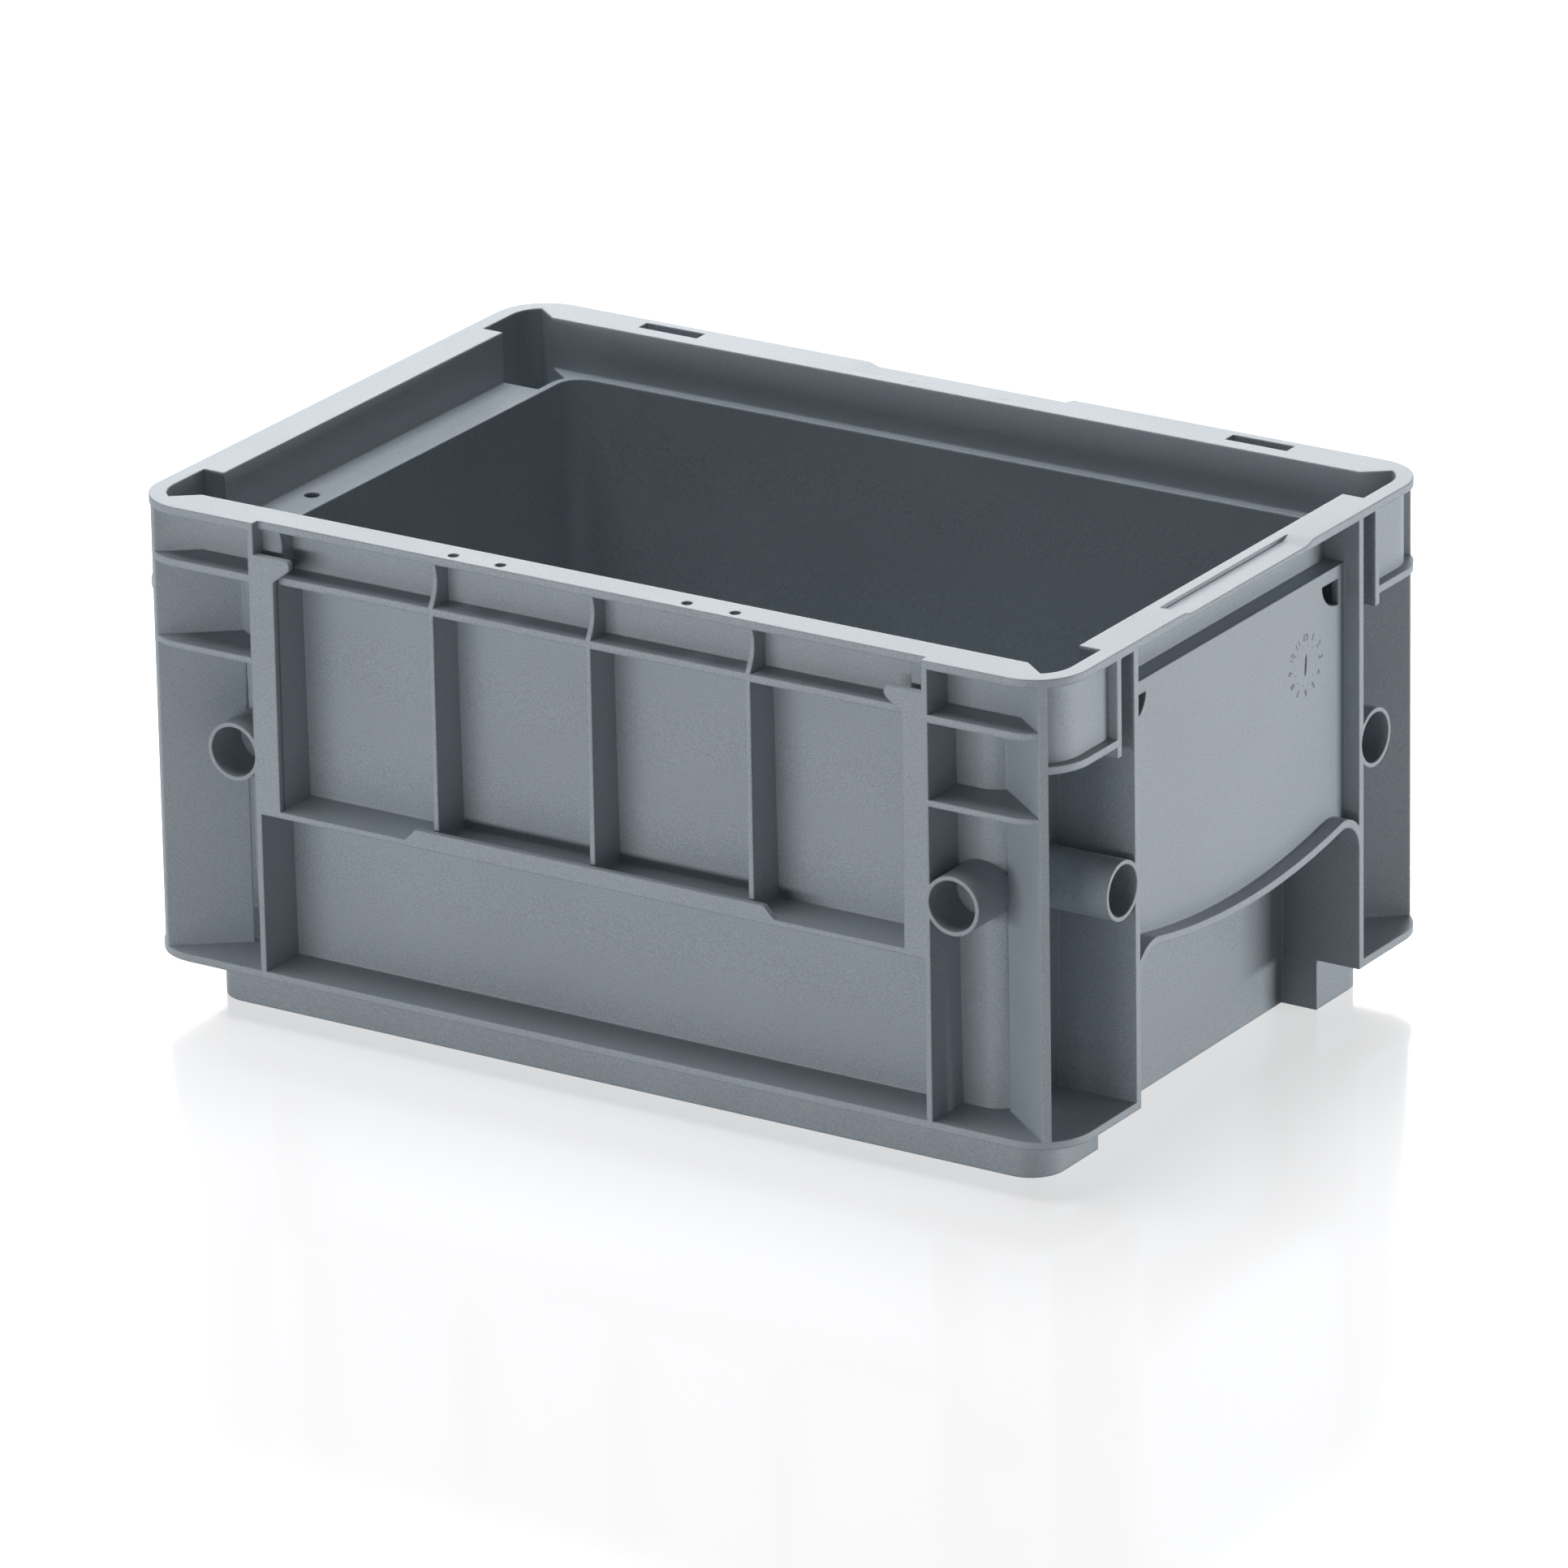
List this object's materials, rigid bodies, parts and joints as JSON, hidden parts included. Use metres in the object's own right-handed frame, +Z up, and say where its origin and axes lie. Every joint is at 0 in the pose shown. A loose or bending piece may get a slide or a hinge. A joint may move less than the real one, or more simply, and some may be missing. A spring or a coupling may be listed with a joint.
{
  "type": "small load carrier box",
  "caption": "Open stackable plastic carrier box with ribbed walls, a stepped foot that nests in the rim below, hand grips on the ends, a card holder and round handling sockets.",
  "frame": {"origin": "centre of the underside, on the surface that the box stands on", "axes": "+Z up, +X along the long side, -Y towards the side with the card holder"},
  "size_m": [0.297, 0.198, 0.1475],
  "materials": {
    "moulded_plastic": "fine matt moulded texture, blue grey"
  },
  "bodies": {
    "root": {"carrier_box": "moulded_plastic"}
  },
  "joints": []
}
